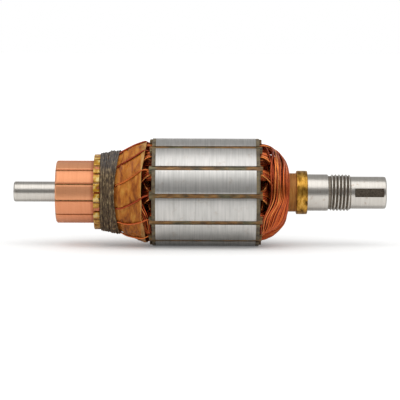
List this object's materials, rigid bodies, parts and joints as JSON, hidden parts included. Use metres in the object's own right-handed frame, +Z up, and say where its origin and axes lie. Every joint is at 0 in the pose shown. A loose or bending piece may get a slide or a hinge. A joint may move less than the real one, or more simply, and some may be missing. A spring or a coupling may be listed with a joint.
{
  "type": "motor armature",
  "caption": "Wound motor armature: slotted steel core, copper end windings, bar commutator with corded leads, and a stepped shaft with a bearing journal, threaded neck and keyed end.",
  "frame": {"origin": "on the shaft axis, at the middle of the drive-end bearing journal", "axes": "+X along the shaft, out of the drive end; +Z up, with one core slot at the bottom; the keyseat faces -Y"},
  "size_m": [0.1729, 0.05, 0.05],
  "materials": {
    "turned_steel": "turned and ground bright steel",
    "electrical_steel": "ground edges of stacked electrical steel sheets",
    "brass": "turned brass",
    "copper": null,
    "enamelled_wire": "enamelled copper wire, reddish brown and glossy",
    "fibre_tube": "resin-bonded fibre tube",
    "vulcanised_fibre": "vulcanised fibre sheet",
    "liner_paper": "insulation paper soaked with varnish",
    "fibre_wedge": "hard fibre strip",
    "phenolic": "dark moulded phenolic",
    "mica": "bonded mica sheet",
    "varnished_paper": "brown varnished crepe paper",
    "waxed_cord": "dark waxed twine"
  },
  "bodies": {
    "root": {"coil_01": "enamelled_wire", "coil_02": "enamelled_wire", "coil_03": "enamelled_wire", "coil_04": "enamelled_wire", "coil_05": "enamelled_wire", "coil_06": "enamelled_wire", "coil_07": "enamelled_wire", "coil_08": "enamelled_wire", "coil_09": "enamelled_wire", "coil_10": "enamelled_wire", "coil_11": "enamelled_wire", "coil_12": "enamelled_wire", "commutator_bar_01": "copper", "commutator_bar_02": "copper", "commutator_bar_03": "copper", "commutator_bar_04": "copper", "commutator_bar_05": "copper", "commutator_bar_06": "copper", "commutator_bar_07": "copper", "commutator_bar_08": "copper", "commutator_bar_09": "copper", "commutator_bar_10": "copper", "commutator_bar_11": "copper", "commutator_bar_12": "copper", "commutator_hub": "phenolic", "commutator_leads": "enamelled_wire", "commutator_mica": "mica", "cone_wrap": "varnished_paper", "cord_band": "waxed_cord", "end_plate_drive": "vulcanised_fibre", "end_plate_tail": "vulcanised_fibre", "insulating_tube": "fibre_tube", "lamination_core": "electrical_steel", "shaft": "turned_steel", "slot_liners": "liner_paper", "slot_wedge_01": "fibre_wedge", "slot_wedge_02": "fibre_wedge", "slot_wedge_03": "fibre_wedge", "slot_wedge_04": "fibre_wedge", "slot_wedge_05": "fibre_wedge", "slot_wedge_06": "fibre_wedge", "slot_wedge_07": "fibre_wedge", "slot_wedge_08": "fibre_wedge", "slot_wedge_09": "fibre_wedge", "slot_wedge_10": "fibre_wedge", "slot_wedge_11": "fibre_wedge", "slot_wedge_12": "fibre_wedge", "spacer_collar": "brass"}
  },
  "joints": []
}
